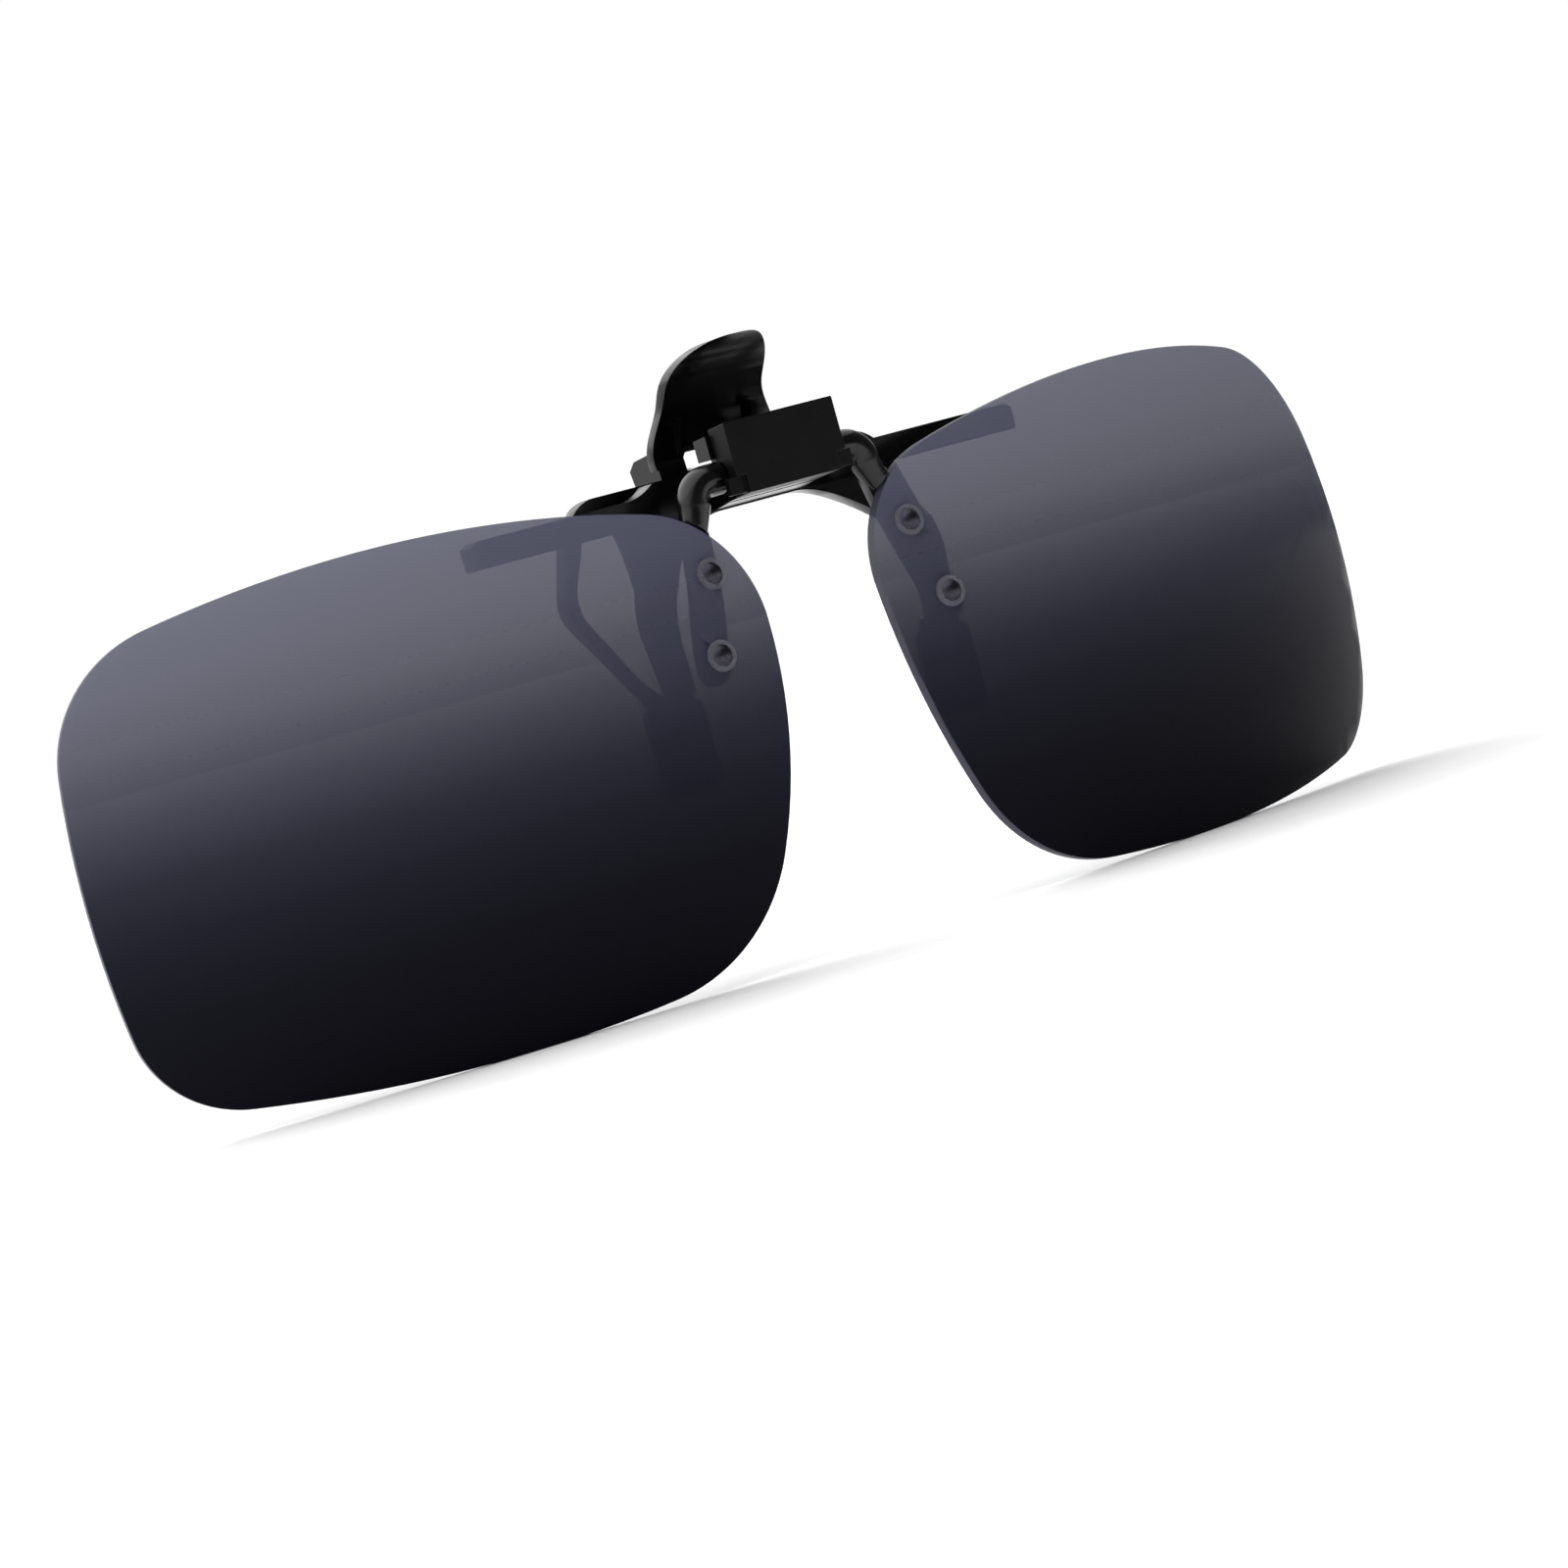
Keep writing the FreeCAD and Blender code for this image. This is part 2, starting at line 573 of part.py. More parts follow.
# the cheek's and the rib's outlines, as distances behind and above the clamp pin
CHEEK = [(-2.0, -1.8), (-1.55, 3.4), (1.7, 3.1), (2.65, 2.4), (2.1, -0.8), (1.2, -1.8)]
RIB = [(-1.4, 2.2), (-2.5, 3.1), (-3.7, 5.5), (-2.7, 5.8), (-1.1, 3.2)]


def from_pin(points):
    return [(PIN_Y + back, PIN_Z + rise) for back, rise in points]


def lever_centre():
    """Centre of the arc through the lever's root, middle and tip."""
    arc = Part.Arc(yz(*LEVER_ROOT), yz(*LEVER_MIDDLE), yz(*LEVER_TIP)).toShape().Curve
    return arc.Center, arc.Radius


def make_lever():
    """Thumb tab: a strip bent along an arc and cut to its rounded outline."""
    centre, radius = lever_centre()
    outer = rod_x(radius + LEVER_T, -10, 10, centre.y, centre.z)
    strip = outer.cut(rod_x(radius, -11, 11, centre.y, centre.z))
    half = [(x, PIN_Z + rise) for x, rise in LEVER_HALF]
    left = [(-x, z) for x, z in reversed(half)]
    edges = [curve(half + left[1:], xz), line(half[0], left[-1], xz)]
    tab = strip.common(plate(edges, V(0, 14, 0), V(0, 0, 0)))
    window = box(-WINDOW_HALF_W, WINDOW_HALF_W, 0, 14, 0, WINDOW_TOP_Z)
    return tab.cut(window)


def make_rib():
    """Small web that stiffens the lever's root, on the right."""
    return polygon_yz(from_pin(RIB), RIB_X - RIB_T / 2, RIB_X + RIB_T / 2)


def make_cheek():
    cheek_in_x = EAR_IN_X + EAR_T + SIDE_GAP
    return polygon_yz(from_pin(CHEEK), cheek_in_x, CHEEK_OUT_X)


def make_rear_jaw():
    bridge_top = SPRING_LEG_BOTTOM_Z - SPRING_REST
    bridge_y = PIN_Y + EAR_R + BRIDGE_GAP
    bridge_x = CHEEK_OUT_X - BRIDGE_LAP
    bridge = box(-bridge_x, bridge_x, bridge_y, bridge_y + BRIDGE_T, BRIDGE_BOTTOM_Z, bridge_top)
    half = [make_cheek(), make_strut(), make_rib()]
    pieces = half + [mirrored(p) for p in half] + [make_lever(), bridge]
    jaw = fuse_all(pieces)
    return jaw.cut(rod_x(PIN_R + PIN_CLEAR, -FAR, FAR, PIN_Y, PIN_Z))


# ---- clamp pin and spring ----
def make_pin():
    end = CHEEK_OUT_X - PIN_SETBACK
    pin = rod_x(PIN_R, -end, end, PIN_Y, PIN_Z)
    return pin.makeChamfer(PIN_CHAMFER, [e for e in pin.Edges if len(e.Vertexes) == 1])


def make_spring():
    """Coil round the pin; its legs press down on the front jaw's web and the rear bridge."""
    length = SPRING_TURNS * SPRING_PITCH
    coil = Part.makeHelix(SPRING_PITCH, length, SPRING_COIL_R)
    along = V(0, 2 * math.pi * SPRING_COIL_R, SPRING_PITCH).normalize()
    start = V(SPRING_COIL_R, 0, 0)
    end = V(SPRING_COIL_R, 0, length)
    front_end = start - along * SPRING_FRONT_LEG
    route = [Part.makeLine(front_end, start)] + coil.Edges
    route.append(Part.makeLine(end, end + along * SPRING_REAR_LEG))
    section = Part.Wire(Part.makeCircle(SPRING_WIRE_R, front_end, along))
    spring = Part.Wire(route).makePipeShell([section], True, True)
    spring.rotate(V(0, 0, 0), V(0, 1, 0), -90)
    spring.translate(V(length / 2, PIN_Y, PIN_Z))
    return spring


# ---- soft sleeves ----
def make_sleeve(x, y):
    """Moulded boot: rounded block with an arched mouth, closed at the bottom."""
    x0 = x - SLEEVE_W / 2
    x1 = x + SLEEVE_W / 2
    high = SLEEVE_TOP_Z - SLEEVE_SHOULDER
    low = SLEEVE_BOTTOM_Z + SLEEVE_SHOULDER
    mouth = Part.Arc(xz(x0, high), xz(x, SLEEVE_TOP_Z), xz(x1, high)).toShape()
    toe = Part.Arc(xz(x0, low), xz(x, SLEEVE_BOTTOM_Z), xz(x1, low)).toShape()
    edges = [mouth, toe, line((x0, high), (x0, low), xz), line((x1, high), (x1, low), xz)]
    boot = plate(edges, V(0, SLEEVE_T, 0), V(0, y - SLEEVE_T / 2, 0))
    block = box(x0, x1, y - SLEEVE_T / 2, y + SLEEVE_T / 2, SLEEVE_BOTTOM_Z, SLEEVE_TOP_Z)
    upright = [e for e in block.Edges if abs(e.Vertexes[0].Z - e.Vertexes[1].Z) > 1]
    boot = boot.common(block.makeFillet(min(SLEEVE_ROUND, SLEEVE_T / 3), upright))
    half_w = TANG_W / 2 + SLEEVE_FIT
    half_t = TANG_T / 2 + SLEEVE_FIT
    return boot.cut(box(x - half_w, x + half_w, y - half_t, y + half_t, TANG_END_Z - SLEEVE_FIT, FAR))


def write(name, shape):
    placed = shape.copy()
    placed.translate(ORIGIN * -1)
    solids = placed.Solids
    print(f"{name}: {len(solids)} solid, valid {placed.isValid()}, {placed.Volume:.2f} mm3")
    if len(solids) == 1:
        placed = solids[0]
    placed.exportStep(f"parts/{name}.step")


def main():
    os.makedirs("parts", exist_ok=True)
    lens = place_left(make_lens())
    for side, sign in SIDES.items():
        turn = mirrored if sign > 0 else (lambda s: s)
        write(f"lens_{side}", turn(lens))
        for place_name, place in RIVET_PLACES.items():
            write(f"rivet_{side}_{place_name}", turn(place_left(make_rivet(place))))
            write(f"washer_{side}_{place_name}", turn(place_left(make_washer(place))))
        write(f"sleeve_front_{side}", make_sleeve(sign * FRONT_CLAW_X, front_tang_y()))
        write(f"sleeve_rear_{side}", make_sleeve(sign * REAR_CLAW_X, rear_tang_y()))
    write("lens_carrier", make_carrier())
    write("hinge_housing", make_housing())
    write("detent_leaf_spring", make_leaf())
    write("front_jaw", make_front_jaw())
    write("rear_jaw", make_rear_jaw())
    write("clamp_pin", make_pin())
    write("torsion_spring", make_spring())


main()
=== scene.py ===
# %% [markdown]
# # Dressing a clip-on sunglass
# The part arrives as a fixed frame of CAD pieces: two tinted lenses, the
# hinge that flips them up, and the sprung clamp that grips a pair of
# spectacles. Nothing here moves or reshapes those pieces. This lesson adds
# what CAD leaves out: broken edges, surface finishes, a studio and a camera.

# %% Load the frame
import json
import math

import bpy
from mathutils import Matrix, Vector


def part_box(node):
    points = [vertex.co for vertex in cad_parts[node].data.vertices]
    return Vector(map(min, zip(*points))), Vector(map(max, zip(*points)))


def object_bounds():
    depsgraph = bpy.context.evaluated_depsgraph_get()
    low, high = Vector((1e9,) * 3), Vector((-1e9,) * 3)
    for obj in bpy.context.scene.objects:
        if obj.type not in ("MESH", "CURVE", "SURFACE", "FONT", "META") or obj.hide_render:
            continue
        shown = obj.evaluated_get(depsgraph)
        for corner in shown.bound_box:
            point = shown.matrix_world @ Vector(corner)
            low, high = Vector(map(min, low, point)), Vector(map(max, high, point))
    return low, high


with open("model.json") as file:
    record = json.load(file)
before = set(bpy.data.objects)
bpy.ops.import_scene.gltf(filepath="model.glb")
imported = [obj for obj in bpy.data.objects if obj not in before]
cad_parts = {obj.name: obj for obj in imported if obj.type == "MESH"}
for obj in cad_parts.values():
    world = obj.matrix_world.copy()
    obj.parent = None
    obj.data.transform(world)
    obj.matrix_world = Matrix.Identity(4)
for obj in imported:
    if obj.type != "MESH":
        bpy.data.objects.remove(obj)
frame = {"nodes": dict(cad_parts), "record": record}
cad_low, cad_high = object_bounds()
MM = 0.001
print("pieces", len(frame["nodes"]), "box in mm", [round(v / MM, 1) for v in cad_high - cad_low])

# %% [markdown]
# ## Colours and nodes
# A hex colour is written for the eye, in sRGB, but light adds up in linear
# values. One function turns the first into the second. A second function
# adds a node with its settings and links, so that each finish below reads
# as a short recipe.


# %% Helpers for colours and nodes
def linear(hex_colour):
    """An sRGB hex colour as linear red, green, blue and alpha."""
    parts = [int(hex_colour[i:i + 2], 16) / 255 for i in (1, 3, 5)]
    return [p / 12.92 if p <= 0.04045 else ((p + 0.055) / 1.055) ** 2.4 for p in parts] + [1.0]


def add(tree, kind, settings=None, values=None, links=None):
    """Adds a node: settings are its own options, values its sockets, links what feeds them."""
    node = tree.nodes.new(kind)
    for name, value in (settings or {}).items():
        setattr(node, name, value)
    for name, value in (values or {}).items():
        node.inputs[name].default_value = value
    for name, source in (links or {}).items():
        tree.links.new(source, node.inputs[name])
    return node


def new_material(name):
    """An empty material with its node tree and a Principled shader joined to the output."""
    material = bpy.data.materials.new(name)
    material.use_nodes = True
    tree = material.node_tree
    tree.nodes.clear()
    shader = add(tree, "ShaderNodeBsdfPrincipled")
    add(tree, "ShaderNodeOutputMaterial", links={"Surface": shader.outputs["BSDF"]})
    return material, tree, shader


def ramp(tree, source, stops):
    """A colour ramp over 0 to 1, its stops given as (place, hex colour)."""
    node = add(tree, "ShaderNodeValToRGB", links={"Fac": source})
    elements = node.color_ramp.elements
    while len(elements) < len(stops):
        elements.new(0.5)
    for element, (place, colour) in zip(elements, stops):
        element.position = place
        element.color = linear(colour)
    return node.outputs["Color"]


def between(tree, source, low, high):
    """Spreads a 0 to 1 value over a range."""
    node = add(tree, "ShaderNodeMapRange", values={"To Min": low, "To Max": high}, links={"Value": source})
    return node.outputs["Result"]


def noise(tree, size_mm, detail=3.0, seed=0.0):
    """A solid noise whose features are about size_mm across on the real piece."""
    place = add(tree, "ShaderNodeTexCoord")
    node = add(tree, "ShaderNodeTexNoise", {"noise_dimensions": "4D"},
               {"Scale": 1 / (size_mm * MM), "Detail": detail, "W": seed},
               {"Vector": place.outputs["Object"]})
    return node.outputs["Fac"]


def bump(tree, height, depth_mm, under=None):
    """A bump that stands depth_mm high, laid over another one if given."""
    links = {"Height": height}
    if under is not None:
        links["Normal"] = under
    node = add(tree, "ShaderNodeBump", values={"Strength": 1.0, "Distance": depth_mm * MM}, links=links)
    return node.outputs["Normal"]


# %% [markdown]
# ## The lenses: tri-acetate (TAC) sheet, pressed to a curve
# A clip-on lens is a polarising film between two sheets of cellulose
# tri-acetate. Its surface is glass-smooth, so it has no grain of its own.
# What the eye reads is the tint: a smoke grey that is thinnest along the
# top edge and opaque at the bottom, with a faint violet cast.
# A glass shader with absorption would be the physical way, but an even
# absorption can't fade from top to bottom. Here the tint is the shader's
# Alpha, driven by height on the lens, so what lies behind still shows.
# The cut edge and the walls of the rivet holes are painted one even grey,
# paler than most of the tint: a painted highlight along the edge.


# %% The lens finish
def smoke_tac_lens(name, low, high):
    material, tree, shader = new_material(name)
    place = add(tree, "ShaderNodeTexCoord")
    axes = add(tree, "ShaderNodeSeparateXYZ", links={"Vector": place.outputs["Object"]})
    height = add(tree, "ShaderNodeMapRange", values={"From Min": low.z, "From Max": high.z},
                 links={"Value": axes.outputs["Z"]}).outputs["Result"]
    dye = noise(tree, 0.35, 2.0, 4.0)
    uneven = add(tree, "ShaderNodeMath", {"operation": "MULTIPLY_ADD"},
                 {1: DYE_MOTTLE, 2: -DYE_MOTTLE / 2}, {0: dye}).outputs["Value"]
    level = add(tree, "ShaderNodeMath", {"operation": "ADD"}, links={0: height, 1: uneven}).outputs["Value"]
    tint = ramp(tree, level, LENS_TINT)
    cover = ramp(tree, level, LENS_COVER)
    facing = add(tree, "ShaderNodeSeparateXYZ", links={"Vector": place.outputs["Normal"]}).outputs["Y"]
    flatness = add(tree, "ShaderNodeMath", {"operation": "ABSOLUTE"}, links={0: facing}).outputs["Value"]
    # Painted highlight: this picks out the faces turned edge-on to Y, which are the cut edge and the hole
    # walls.
    rim_highlight_mask = add(tree, "ShaderNodeMapRange", {"interpolation_type": "SMOOTHSTEP"},
              {"From Min": PAINTED_RIM_STARTS, "From Max": PAINTED_RIM_FULL}, {"Value": flatness})
    front = add(tree, "ShaderNodeMapRange", values={"From Min": FACE_BLEND, "From Max": -FACE_BLEND},
                links={"Value": facing})
    skin = add(tree, "ShaderNodeMix", {"data_type": "RGBA"}, links={"Factor": front.outputs["Result"]})
    skin.inputs["A"].default_value = linear(LENS_REAR)
    tree.links.new(tint, skin.inputs["B"])
    # The picked-out edge faces get one flat paler grey, which is a painted highlight.
    with_painted_rim_highlight = add(tree, "ShaderNodeMix", {"data_type": "RGBA"}, links={"Factor": rim_highlight_mask.outputs["Result"]})
    tree.links.new(skin.outputs["Result"], with_painted_rim_highlight.inputs["A"])
    with_painted_rim_highlight.inputs["B"].default_value = linear(LENS_RIM_PAINTED_HIGHLIGHT)
    tree.links.new(with_painted_rim_highlight.outputs["Result"], shader.inputs["Base Color"])
    tree.links.new(cover, shader.inputs["Alpha"])
    shader.inputs["Roughness"].default_value = 0.12
    shader.inputs["IOR"].default_value = 1.48
    shader.inputs["Specular IOR Level"].default_value = 0.02
    return material


DYE_MOTTLE = 0.016      # how unevenly the dye took, as a share of the lens's height
# The next two values set where the painted edge highlight begins and where it is full.
PAINTED_RIM_STARTS = 0.45       # how squarely a face looks along Y where the cut edge starts to show
PAINTED_RIM_FULL = 0.25
FACE_BLEND = 0.1        # how far to either side of edge-on the rear colour gives way to the tint
LENS_TINT = [(0.0, "#0F0E15"), (0.25, "#15151D"), (0.4, "#1F1F2A"), (0.5, "#2A2A37"), (0.72, "#4B4C5C"),
             (0.86, "#5D5E70"), (1.0, "#646679")]
LENS_COVER = [(0.0, "#FFFFFF"), (0.3, "#FDFDFD"), (0.5, "#F8F8F8"),
              (0.62, "#F1F1F1"), (0.76, "#E3E3E3"), (1.0, "#DFDFDF")]
LENS_REAR = "#2A2A32"
# The colour below is the painted highlight along the lens's cut edge.
LENS_RIM_PAINTED_HIGHLIGHT = "#4C4B56"
lens_low, lens_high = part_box("lens_left")
lens_tac = smoke_tac_lens("tac_smoke_gradient_polished", lens_low, lens_high)
print("lens height in mm", round((lens_high.z - lens_low.z) / MM, 1))

# %% [markdown]
# ## The mouldings: black nylon
# The housing, the carrier and both jaws are injection moulded from black
# nylon. The tool steel was polished for the jaws, so they are glossy with a
# slow waviness where the plastic shrank. It was polished for the carrier
# too, and spark eroded for the housing, which leaves a satin grain about
# 0.05 mm across. That is too fine to show, so the grain here is drawn
# three times as coarse.
# Handling leaves faint scuffs, which only change the gloss.


# %% The moulded plastic finishes
def moulded_nylon(name, colour, worn, roughness, grain_mm, grain_depth, wave_depth, level):
    material, tree, shader = new_material(name)
    cloud = noise(tree, 2.5, 4.0, 1.0)
    scuff = noise(tree, 0.5, 6.0, 2.0)
    grain = noise(tree, grain_mm, 2.0, 3.0)
    wave = noise(tree, 3.2, 1.0, 5.0)
    tree.links.new(ramp(tree, cloud, [(0.3, colour), (0.75, worn)]), shader.inputs["Base Color"])
    spread = add(tree, "ShaderNodeMath", {"operation": "MULTIPLY"},
                 links={0: cloud, 1: scuff}).outputs["Value"]
    tree.links.new(between(tree, spread, roughness * 0.75, roughness * 1.6), shader.inputs["Roughness"])
    slow = bump(tree, wave, wave_depth)
    tree.links.new(bump(tree, grain, grain_depth, slow), shader.inputs["Normal"])
    shader.inputs["IOR"].default_value = 1.53
    shader.inputs["Specular IOR Level"].default_value = level
    return material


gloss_nylon = moulded_nylon("nylon_black_polished_mould", "#050506", "#09090B", 0.2, 0.25, 0.0008, 0.01, 0.35)
satin_nylon = moulded_nylon("nylon_black_spark_eroded_mould", "#040405", "#08080A", 0.42, 0.15,
                            0.004, 0.008, 0.12)
print("mouldings", gloss_nylon.name, satin_nylon.name)

# %% [markdown]
# ## The sleeves: silicone
# Silicone sleeves cover the four claw tips, so they don't mark the
# spectacles. Moulded silicone is matte, holds a soft sheen at glancing
# angles and picks up fine dust, which shows as pale specks about 0.2 mm
# across.


# %% The silicone finish
def dusty_silicone(name):
    material, tree, shader = new_material(name)
    dust = noise(tree, 0.2, 3.0, 7.0)
    tree.links.new(ramp(tree, dust, [(0.45, "#17151B"), (0.62, "#1E1B23"), (0.75, "#34313B")]),
                   shader.inputs["Base Color"])
    tree.links.new(between(tree, dust, 0.55, 0.8), shader.inputs["Roughness"])
    tree.links.new(bump(tree, noise(tree, 0.3, 3.0, 8.0), 0.006), shader.inputs["Normal"])
    shader.inputs["IOR"].default_value = 1.41
    shader.inputs["Sheen Weight"].default_value = 0.15
    shader.inputs["Sheen Roughness"].default_value = 0.5
    return material


silicone = dusty_silicone("silicone_black_matte_moulded")
print("sleeves", silicone.name)

# %% [markdown]
# ## The metal: rivets, pin and springs
# The rivets are brass, headed in a die and plated with black nickel, so
# they are dark, smooth domes. The hinge pin is drawn stainless steel and
# the springs are drawn spring wire. Drawing leaves fine lines along the
# metal, which a noise stretched along one axis gives. A metal keeps the
# default IOR, because its colour already says how it reflects.


# %% The metal finishes
def drawn_metal(name, colour, dull, roughness, line_mm, stretch):
    material, tree, shader = new_material(name)
    place = add(tree, "ShaderNodeTexCoord")
    scale = [1 / (line_mm * MM) / s for s in stretch]
    lines = add(tree, "ShaderNodeMapping", values={"Scale": scale}, links={"Vector": place.outputs["Object"]})
    line = add(tree, "ShaderNodeTexNoise", values={"Scale": 1.0, "Detail": 3.0},
               links={"Vector": lines.outputs["Vector"]}).outputs["Fac"]
    tree.links.new(ramp(tree, line, [(0.3, dull), (0.65, colour)]), shader.inputs["Base Color"])
    tree.links.new(between(tree, line, roughness * 0.7, roughness * 1.4), shader.inputs["Roughness"])
    tree.links.new(bump(tree, line, 0.0015), shader.inputs["Normal"])
    shader.inputs["Metallic"].default_value = 1.0
    return material


black_nickel = drawn_metal("brass_black_nickel_plated_headed", "#44434C", "#34333B", 0.36, 0.15, (1, 1, 1))
pin_steel = drawn_metal("stainless_steel_drawn_pin", "#C4C6C9", "#A2A4A8", 0.28, 0.12, (12, 1, 1))
spring_steel = drawn_metal("spring_steel_drawn_wire", "#A9AAAE", "#85868B", 0.3, 0.12, (1, 4, 4))
print("metals", black_nickel.name, pin_steel.name, spring_steel.name)

# %% [markdown]
# ## The washers: clear nylon
# A soft washer under each rivet head keeps the metal from cracking the
# lens. It is unfilled nylon, which is milky: light goes in, scatters and
# comes out, so the washer looks paler than what is behind it.


# %% The washer finish
def milky_nylon(name):
    material, tree, shader = new_material(name)
    haze = noise(tree, 0.4, 3.0, 9.0)
    tree.links.new(ramp(tree, haze, [(0.3, "#6F6E7A"), (0.7, "#84838E")]), shader.inputs["Base Color"])
    tree.links.new(between(tree, haze, 0.3, 0.45), shader.inputs["Roughness"])
    tree.links.new(bump(tree, haze, 0.001), shader.inputs["Normal"])
    shader.inputs["IOR"].default_value = 1.53
    shader.inputs["Specular IOR Level"].default_value = 0.2
    shader.inputs["Alpha"].default_value = 0.4
    return material


washer_nylon = milky_nylon("nylon_natural_milky_washer")
print("washers", washer_nylon.name)

# %% [markdown]
# ## Handing out the finishes
# The record gives every CAD piece a material slot. Each slot gets one
# finish, so that a piece never needs to be named here twice.

# %% Give each CAD piece its finish
FINISH = {
    "lens_tint": lens_tac,
    "black_gloss": gloss_nylon,
    "black_satin": satin_nylon,
    "sleeve_silicone": silicone,
    "rivet_metal": black_nickel,
    "washer_nylon": washer_nylon,
    "pin_steel": pin_steel,
    "spring_steel": spring_steel,
}
for part in frame["record"]["subparts"]:
    piece = frame["nodes"][part["node"]]
    if not piece.material_slots:
        piece.data.materials.append(None)
    for held in piece.material_slots:
        held.material = FINISH[part["material_slot"]]

# %% [markdown]
# ## Broken edges
# No moulded or stamped edge is a knife edge: the mould has a small radius,
# and that radius is what catches the light as a thin bright line. A bevel
# modifier rounds the edges that turn sharply. The CAD mesh carries its
# points once per face, so a weld modifier joins them first, which leaves
# the mesh itself as it came.

# %% Round the edges
EDGE_RADIUS = {
    "black_gloss": 0.16,
    "black_satin": 0.12,
    "sleeve_silicone": 0.25,
    "lens_tint": 0.03,
    "pin_steel": 0.05,
}
SAME_POINT = 0.002 * MM
SHARP_TURN = math.radians(35)
for part in frame["record"]["subparts"]:
    radius = EDGE_RADIUS.get(part["material_slot"])
    if radius is None:
        continue
    piece = frame["nodes"][part["node"]]
    weld = piece.modifiers.new("join_face_points", "WELD")
    weld.merge_threshold = SAME_POINT
    round_over = piece.modifiers.new("mould_radius", "BEVEL")
    round_over.width = radius * MM
    round_over.segments = 3
    round_over.limit_method = "ANGLE"
    round_over.angle_limit = SHARP_TURN
    round_over.harden_normals = True
print("rounded", len(EDGE_RADIUS), "kinds of piece")

# %% [markdown]
# ## The table
# The clip stands on the lower edges of its lenses on a plain pale table.
# The table is only a large flat sheet with a very faint mottle, because a
# perfectly even floor looks like a hole under the clip.

# %% Lay the table
def pale_table(low):
    half = TABLE_HALF
    flat = bpy.data.meshes.new("table")
    corners = [(-half, -half, low.z), (half, -half, low.z), (half, half, low.z), (-half, half, low.z)]
    flat.from_pydata(corners, [], [(0, 1, 2, 3)])
    piece = bpy.data.objects.new("table", flat)
    bpy.context.scene.collection.objects.link(piece)
    material, tree, shader = new_material("laminate_white_matte")
    tree.links.new(ramp(tree, noise(tree, 6.0, 3.0), [(0.3, "#F6F6F6"), (0.7, "#FAFAFA")]),
                   shader.inputs["Base Color"])
    shader.inputs["Roughness"].default_value = 0.8
    shader.inputs["Specular IOR Level"].default_value = 0.1
    flat.materials.append(material)
    return piece


TABLE_HALF = 3.0        # metres, so that its edge is far out of view
table = pale_table(cad_low)
print("table at", round(cad_low.z / MM, 1), "mm")

# %% [markdown]
# ## The studio
# Black gloss shows its surroundings more than its own colour. The set is a
# white sweep behind and beside the clip, with the room in front of it left
# dimmer, so the faces turned to the viewer stay black while their edges
# and undersides light up. The sweep is the world's colour. The light it
# gives depends on the direction in the room and not on where the camera
# stands, and looked at directly it is plain white. The left of the room is
# the brighter side. Two very broad lamps, like large softboxes, model the
# shapes and leave only faint, soft shadows.

# %% Light the set
ROOM_FRONT = 0.1
ROOM_BACK = 1.0
ROOM_AXIS = (-0.6, 0.8, 0.0)
ROOM_FADE = (-0.6, 0.7)     # where along that axis the room starts and stops growing brighter
world = bpy.data.worlds.new("studio")
bpy.context.scene.world = world
world.use_nodes = True
sky = world.node_tree
sky.nodes.clear()
toward = add(sky, "ShaderNodeTexCoord")
depth = add(sky, "ShaderNodeVectorMath", {"operation": "DOT_PRODUCT"}, {1: ROOM_AXIS},
            {0: toward.outputs["Generated"]})
glow = add(sky, "ShaderNodeMapRange", {"interpolation_type": "SMOOTHSTEP"},
           {"From Min": ROOM_FADE[0], "From Max": ROOM_FADE[1], "To Min": ROOM_FRONT, "To Max": ROOM_BACK},
           {"Value": depth.outputs["Value"]})
seen = add(sky, "ShaderNodeLightPath")
strength = add(sky, "ShaderNodeMix", {"data_type": "FLOAT"}, {"B": 1.0},
               {"Factor": seen.outputs["Is Camera Ray"], "A": glow.outputs["Result"]})
paint = add(sky, "ShaderNodeBackground", values={"Color": linear("#FFFFFF")},
            links={"Strength": strength.outputs["Result"]})
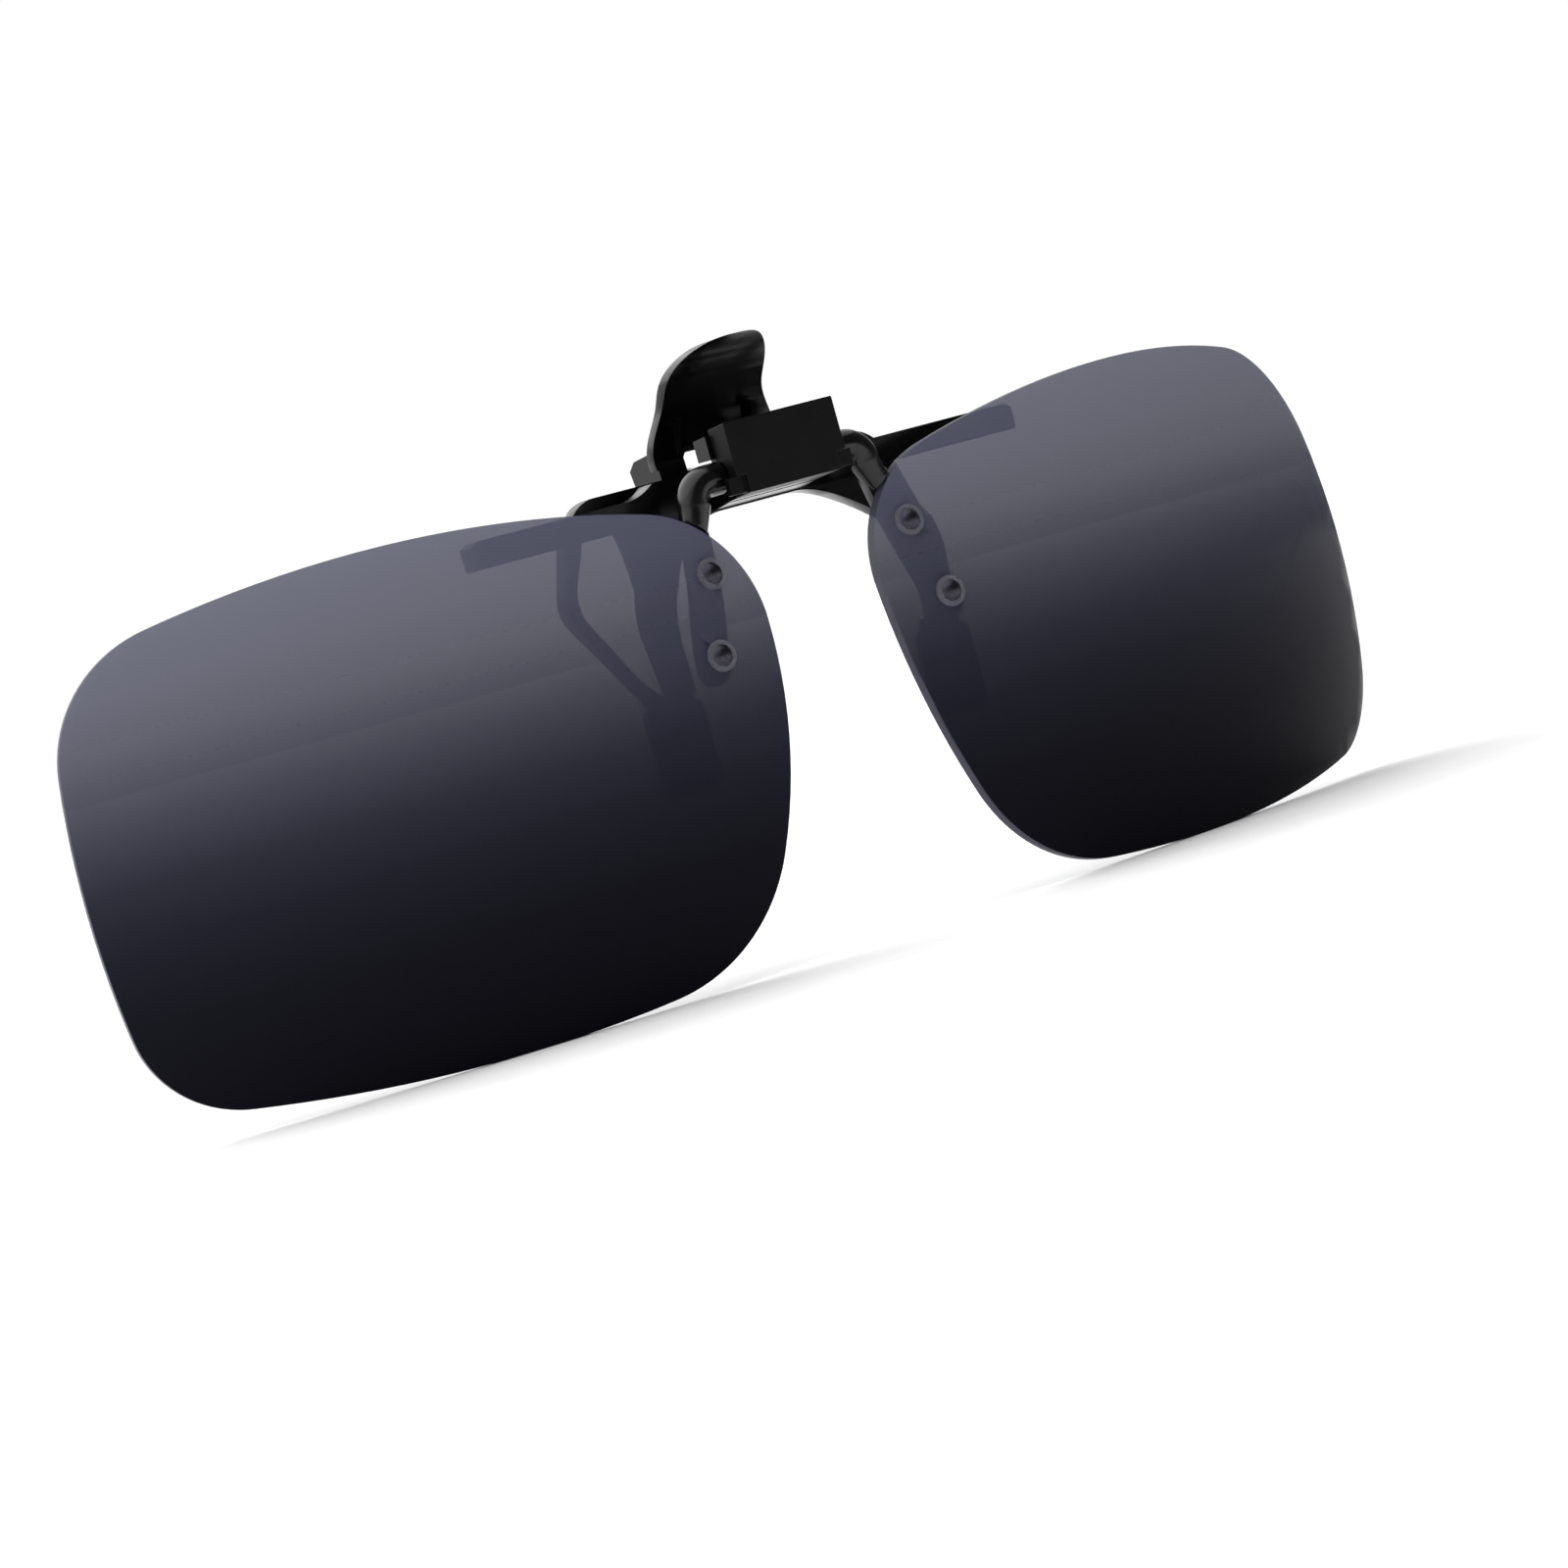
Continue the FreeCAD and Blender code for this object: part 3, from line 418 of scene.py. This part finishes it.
add(sky, "ShaderNodeOutputWorld", links={"Surface": paint.outputs["Background"]})


def softbox(name, azimuth, elevation, strength, spread):
    """A broad lamp far away: azimuth 0 shines from -Y and 90 from +X, in degrees."""
    lamp = bpy.data.lights.new(name, "SUN")
    lamp.energy = strength
    lamp.angle = math.radians(spread)
    holder = bpy.data.objects.new(name, lamp)
    bpy.context.scene.collection.objects.link(holder)
    a = math.radians(azimuth)
    e = math.radians(elevation)
    back = Vector((math.sin(a) * math.cos(e), -math.cos(a) * math.cos(e), math.sin(e)))
    holder.rotation_euler = back.to_track_quat("Z", "Y").to_euler()
    return holder


softbox("softbox_left", -100, 58, 1.2, 110)
softbox("softbox_overhead", 205, 72, 2.0, 110)
bpy.context.scene.view_settings.view_transform = "Standard"
print("studio lit")

# %% [markdown]
# ## The camera
# The camera stands about 43 cm away and has a long lens, so the far side
# of the clip isn't much smaller than the near side. It stands to the left,
# a little lower than the hinge, and looks very slightly down. It is turned
# about its own axis, so that the clip leans across the frame.

# %% Place the camera
AIM = Vector((-5.585, -0.369, -5.081)) * MM
AZIMUTH = math.radians(-33.01)
ELEVATION = math.radians(2.275)
ROLL = math.radians(-15.43)
DISTANCE = 427.0 * MM
back = Vector((math.sin(AZIMUTH) * math.cos(ELEVATION), -math.cos(AZIMUTH) * math.cos(ELEVATION),
               math.sin(ELEVATION)))
level_right = (-back).cross(Vector((0, 0, 1))).normalized()
level_up = level_right.cross(-back)
right = math.cos(ROLL) * level_right + math.sin(ROLL) * level_up
up = math.cos(ROLL) * level_up - math.sin(ROLL) * level_right
view = bpy.data.cameras.new("camera")
view.sensor_width = 36.0
view.lens = 120.6
view.clip_start = 0.01
view.clip_end = 20.0
camera = bpy.data.objects.new("camera", view)
bpy.context.scene.collection.objects.link(camera)
turn = Matrix((right, up, back)).transposed().to_4x4()
camera.matrix_world = Matrix.Translation(AIM + back * DISTANCE) @ turn
bpy.context.scene.camera = camera
print("camera at", [round(v / MM) for v in camera.matrix_world.translation], "mm")
